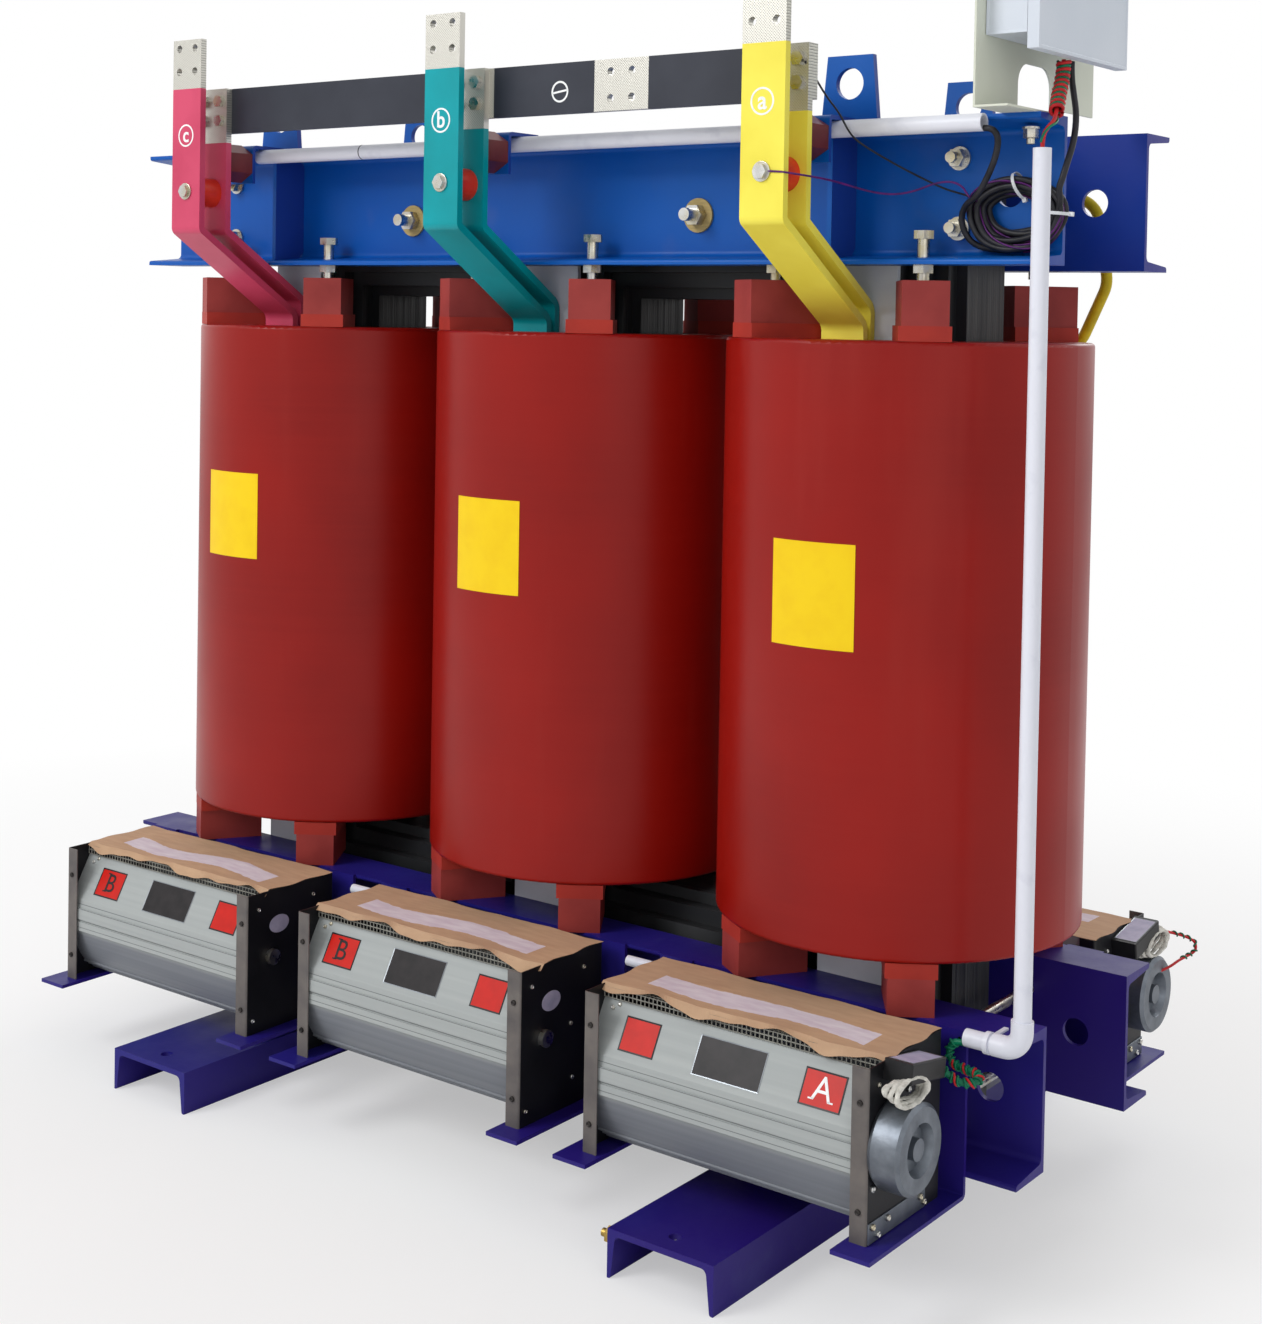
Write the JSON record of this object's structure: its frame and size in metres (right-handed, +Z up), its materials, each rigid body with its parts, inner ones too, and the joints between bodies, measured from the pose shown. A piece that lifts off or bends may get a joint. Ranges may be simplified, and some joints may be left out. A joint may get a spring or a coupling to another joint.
{
  "type": "cast-resin dry-type power transformer",
  "caption": "Dry-type power transformer: red resin coils on a laminated core, blue channel clamps and rails, coloured low-voltage bars, cross-flow fans and a controller.",
  "frame": {"origin": "on the floor, under the middle phase's axis", "axes": "+X along the row of phases towards the controller's end (phase a), +Y from the low-voltage side to the high-voltage side, +Z up"},
  "size_m": [1.8665, 1.042, 1.904],
  "materials": {
    "black_bar": "dark enamel over a tinned copper bar",
    "black_plastic": "black moulded plastic",
    "block_resin": "cast resin, red, matt",
    "cable_black": "black cable sheath",
    "clamp_paint": "satin blue machine paint",
    "conduit_white": "white rigid PVC",
    "controller_paint": "pale grey powder coat",
    "core_steel": "stacked electrical steel under black varnish",
    "earth_brass": "plain brass",
    "fan_aluminium": "cast aluminium",
    "fan_black": "black satin finish",
    "fan_grey": "grey satin finish",
    "green_bar": "green enamel over a tinned copper bar",
    "green_sleeve": "green insulating sleeve over a copper rod",
    "insulating_board": "pale glass-laminate board",
    "insulator_resin": "brown-red resin",
    "rail_paint": "satin violet-blue machine paint",
    "red_bar": "pink-red enamel over a tinned copper bar",
    "red_resin": "cast resin, red, semi-gloss",
    "red_sleeve": "red insulating sleeve over a copper rod",
    "spacer_resin": "orange-red resin",
    "strap_paint": "light grey paint",
    "wire_green": "green and red wires, wound together",
    "wire_purple": "thin purple wire",
    "yellow_bar": "yellow enamel over a tinned copper bar",
    "yellow_sleeve": "yellow insulating sleeve over a copper rod",
    "zinc": "bright zinc plate"
  },
  "bodies": {
    "root": {"bar_bolts": "zinc", "bar_spacers": "spacer_resin", "base_rail_left": "rail_paint", "base_rail_right": "rail_paint", "bottom_blocks": "block_resin", "bottom_clamp_back": "clamp_paint", "bottom_clamp_front": "clamp_paint", "cable_hank": "cable_black", "clamp_ribs": "clamp_paint", "clamp_stools": "rail_paint", "clamp_studs": "zinc", "conduit_fittings": "conduit_white", "controller_box": "controller_paint", "controller_bracket": "controller_paint", "controller_cable": "cable_black", "core": "core_steel", "earth_bolt": "earth_brass", "fan_bearings": "zinc", "fan_brackets": "clamp_paint", "fan_capacitors": "black_plastic", "fan_end_plates": "fan_black", "fan_harness": "wire_green", "fan_impellers": "fan_aluminium", "fan_motors": "fan_aluminium", "fan_shells": "fan_grey", "hv_coil_a": "red_resin", "hv_coil_b": "red_resin", "hv_coil_c": "red_resin", "hv_posts": "insulator_resin", "hv_rods_a": "yellow_sleeve", "hv_rods_b": "green_sleeve", "hv_rods_c": "red_sleeve", "insulator_brackets": "clamp_paint", "jack_bolts": "zinc", "lifting_lugs": "clamp_paint", "line_bar_a": "yellow_bar", "line_bar_b": "green_bar", "line_bar_c": "red_bar", "lv_coils": "red_resin", "neutral_bar": "black_bar", "post_insulators": "insulator_resin", "riser_conduit": "conduit_white", "sensing_wire": "wire_purple", "sensor_cable": "cable_black", "star_bar_a": "yellow_bar", "star_bar_b": "green_bar", "star_bar_c": "red_bar", "star_bolts": "zinc", "tap_studs": "earth_brass", "tie_plates": "strap_paint", "top_blocks": "block_resin", "top_clamp_back": "clamp_paint", "top_clamp_front": "clamp_paint", "top_conduit": "conduit_white", "yoke_bolts": "zinc", "yoke_washers": "insulating_board"}
  },
  "joints": []
}
